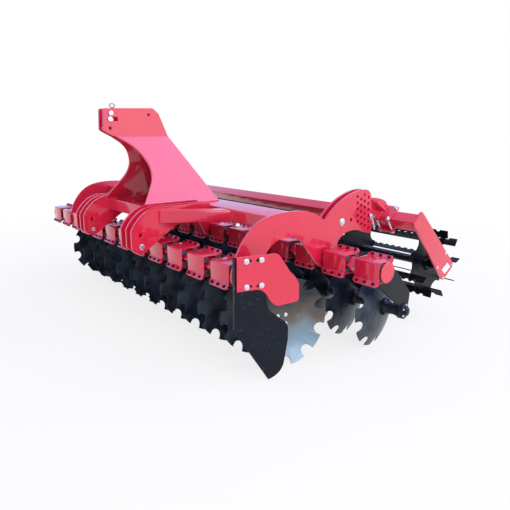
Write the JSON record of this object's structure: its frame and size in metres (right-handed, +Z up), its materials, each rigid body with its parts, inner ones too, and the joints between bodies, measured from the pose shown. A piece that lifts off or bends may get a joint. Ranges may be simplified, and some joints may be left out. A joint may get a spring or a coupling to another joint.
{
  "type": "disc harrow",
  "caption": "Mounted compact disc harrow with notched discs on rubber-sprung arms in two rows, a three-point headstock and a cage roller.",
  "frame": {"origin": "on the floor under the middle of the whole machine", "axes": "+X across the machine towards its left side, -Y the way it is drawn, +Z up"},
  "size_m": [3.46, 2.2484, 1.5618],
  "materials": {
    "red_paint": "glossy",
    "black_paint": "satin",
    "disc_steel": "satin",
    "zinc": "satin",
    "dark_bolt": "satin",
    "rubber": "matte",
    "sticker": "glossy"
  },
  "bodies": {
    "frame": {"main_beam": "red_paint", "side_plate_left": "red_paint", "side_plate_right": "red_paint", "headstock": "red_paint", "lower_hitch": "red_paint", "front_gang_tube": "red_paint", "rear_gang_tube": "red_paint", "side_deflector": "black_paint", "front_arm_1": "red_paint", "front_arm_2": "red_paint", "front_arm_3": "red_paint", "front_arm_4": "red_paint", "front_arm_5": "red_paint", "front_arm_6": "red_paint", "front_arm_7": "red_paint", "front_arm_8": "red_paint", "front_arm_9": "red_paint", "front_arm_10": "red_paint", "front_arm_11": "red_paint", "front_arm_12": "red_paint", "rear_arm_1": "red_paint", "rear_arm_2": "red_paint", "rear_arm_3": "red_paint", "rear_arm_4": "red_paint", "rear_arm_5": "red_paint", "rear_arm_6": "red_paint", "rear_arm_7": "red_paint", "rear_arm_8": "red_paint", "rear_arm_9": "red_paint", "rear_arm_10": "red_paint", "rear_arm_11": "red_paint", "rear_arm_12": "red_paint"},
    "roller_frame": {"roller_arm_left": "red_paint", "roller_arm_right": "red_paint", "roller_beam": "red_paint"},
    "roller": {"roller": "black_paint"},
    "front_disc_1": {"front_disc_1": "disc_steel"},
    "front_disc_2": {"front_disc_2": "disc_steel"},
    "front_disc_3": {"front_disc_3": "disc_steel"},
    "front_disc_4": {"front_disc_4": "disc_steel"},
    "front_disc_5": {"front_disc_5": "disc_steel"},
    "front_disc_6": {"front_disc_6": "disc_steel"},
    "front_disc_7": {"front_disc_7": "disc_steel"},
    "front_disc_8": {"front_disc_8": "disc_steel"},
    "front_disc_9": {"front_disc_9": "disc_steel"},
    "front_disc_10": {"front_disc_10": "disc_steel"},
    "front_disc_11": {"front_disc_11": "disc_steel"},
    "front_disc_12": {"front_disc_12": "disc_steel"},
    "rear_disc_1": {"rear_disc_1": "disc_steel"},
    "rear_disc_2": {"rear_disc_2": "disc_steel"},
    "rear_disc_3": {"rear_disc_3": "disc_steel"},
    "rear_disc_4": {"rear_disc_4": "disc_steel"},
    "rear_disc_5": {"rear_disc_5": "disc_steel"},
    "rear_disc_6": {"rear_disc_6": "disc_steel"},
    "rear_disc_7": {"rear_disc_7": "disc_steel"},
    "rear_disc_8": {"rear_disc_8": "disc_steel"},
    "rear_disc_9": {"rear_disc_9": "disc_steel"},
    "rear_disc_10": {"rear_disc_10": "disc_steel"},
    "rear_disc_11": {"rear_disc_11": "disc_steel"},
    "rear_disc_12": {"rear_disc_12": "disc_steel"}
  },
  "joints": [
    {"name": "roller_frame_swing", "type": "hinge", "parent": "frame", "child": "roller_frame", "pos_m": [0, -0.01519, 0.83079], "axis": [1, 0, 0], "range_deg": [-10, 8]},
    {"name": "roller_turn", "type": "hinge", "parent": "roller_frame", "child": "roller", "pos_m": [0, 0.86481, 0.43979], "axis": [1, 0, 0], "continuous": true},
    {"name": "front_disc_1_turn", "type": "hinge", "parent": "frame", "child": "front_disc_1", "pos_m": [1.3125, -0.54319, 0.27779], "axis": [0.9781, -0.2079, 0], "continuous": true},
    {"name": "front_disc_2_turn", "type": "hinge", "parent": "frame", "child": "front_disc_2", "pos_m": [1.0625, -0.54319, 0.27779], "axis": [0.9781, -0.2079, 0], "continuous": true},
    {"name": "front_disc_3_turn", "type": "hinge", "parent": "frame", "child": "front_disc_3", "pos_m": [0.8125, -0.54319, 0.27779], "axis": [0.9781, -0.2079, 0], "continuous": true},
    {"name": "front_disc_4_turn", "type": "hinge", "parent": "frame", "child": "front_disc_4", "pos_m": [0.5625, -0.54319, 0.27779], "axis": [0.9781, -0.2079, 0], "continuous": true},
    {"name": "front_disc_5_turn", "type": "hinge", "parent": "frame", "child": "front_disc_5", "pos_m": [0.3125, -0.54319, 0.27779], "axis": [0.9781, -0.2079, 0], "continuous": true},
    {"name": "front_disc_6_turn", "type": "hinge", "parent": "frame", "child": "front_disc_6", "pos_m": [0.0625, -0.54319, 0.27779], "axis": [0.9781, -0.2079, 0], "continuous": true},
    {"name": "front_disc_7_turn", "type": "hinge", "parent": "frame", "child": "front_disc_7", "pos_m": [-0.1875, -0.54319, 0.27779], "axis": [0.9781, -0.2079, 0], "continuous": true},
    {"name": "front_disc_8_turn", "type": "hinge", "parent": "frame", "child": "front_disc_8", "pos_m": [-0.4375, -0.54319, 0.27779], "axis": [0.9781, -0.2079, 0], "continuous": true},
    {"name": "front_disc_9_turn", "type": "hinge", "parent": "frame", "child": "front_disc_9", "pos_m": [-0.6875, -0.54319, 0.27779], "axis": [0.9781, -0.2079, 0], "continuous": true},
    {"name": "front_disc_10_turn", "type": "hinge", "parent": "frame", "child": "front_disc_10", "pos_m": [-0.9375, -0.54319, 0.27779], "axis": [0.9781, -0.2079, 0], "continuous": true},
    {"name": "front_disc_11_turn", "type": "hinge", "parent": "frame", "child": "front_disc_11", "pos_m": [-1.1875, -0.54319, 0.27779], "axis": [0.9781, -0.2079, 0], "continuous": true},
    {"name": "front_disc_12_turn", "type": "hinge", "parent": "frame", "child": "front_disc_12", "pos_m": [-1.4375, -0.54319, 0.27779], "axis": [0.9781, -0.2079, 0], "continuous": true},
    {"name": "rear_disc_1_turn", "type": "hinge", "parent": "frame", "child": "rear_disc_1", "pos_m": [1.4375, 0.14681, 0.27779], "axis": [0.9781, 0.2079, 0], "continuous": true},
    {"name": "rear_disc_2_turn", "type": "hinge", "parent": "frame", "child": "rear_disc_2", "pos_m": [1.1875, 0.14681, 0.27779], "axis": [0.9781, 0.2079, 0], "continuous": true},
    {"name": "rear_disc_3_turn", "type": "hinge", "parent": "frame", "child": "rear_disc_3", "pos_m": [0.9375, 0.14681, 0.27779], "axis": [0.9781, 0.2079, 0], "continuous": true},
    {"name": "rear_disc_4_turn", "type": "hinge", "parent": "frame", "child": "rear_disc_4", "pos_m": [0.6875, 0.14681, 0.27779], "axis": [0.9781, 0.2079, 0], "continuous": true},
    {"name": "rear_disc_5_turn", "type": "hinge", "parent": "frame", "child": "rear_disc_5", "pos_m": [0.4375, 0.14681, 0.27779], "axis": [0.9781, 0.2079, 0], "continuous": true},
    {"name": "rear_disc_6_turn", "type": "hinge", "parent": "frame", "child": "rear_disc_6", "pos_m": [0.1875, 0.14681, 0.27779], "axis": [0.9781, 0.2079, 0], "continuous": true},
    {"name": "rear_disc_7_turn", "type": "hinge", "parent": "frame", "child": "rear_disc_7", "pos_m": [-0.0625, 0.14681, 0.27779], "axis": [0.9781, 0.2079, 0], "continuous": true},
    {"name": "rear_disc_8_turn", "type": "hinge", "parent": "frame", "child": "rear_disc_8", "pos_m": [-0.3125, 0.14681, 0.27779], "axis": [0.9781, 0.2079, 0], "continuous": true},
    {"name": "rear_disc_9_turn", "type": "hinge", "parent": "frame", "child": "rear_disc_9", "pos_m": [-0.5625, 0.14681, 0.27779], "axis": [0.9781, 0.2079, 0], "continuous": true},
    {"name": "rear_disc_10_turn", "type": "hinge", "parent": "frame", "child": "rear_disc_10", "pos_m": [-0.8125, 0.14681, 0.27779], "axis": [0.9781, 0.2079, 0], "continuous": true},
    {"name": "rear_disc_11_turn", "type": "hinge", "parent": "frame", "child": "rear_disc_11", "pos_m": [-1.0625, 0.14681, 0.27779], "axis": [0.9781, 0.2079, 0], "continuous": true},
    {"name": "rear_disc_12_turn", "type": "hinge", "parent": "frame", "child": "rear_disc_12", "pos_m": [-1.3125, 0.14681, 0.27779], "axis": [0.9781, 0.2079, 0], "continuous": true}
  ]
}
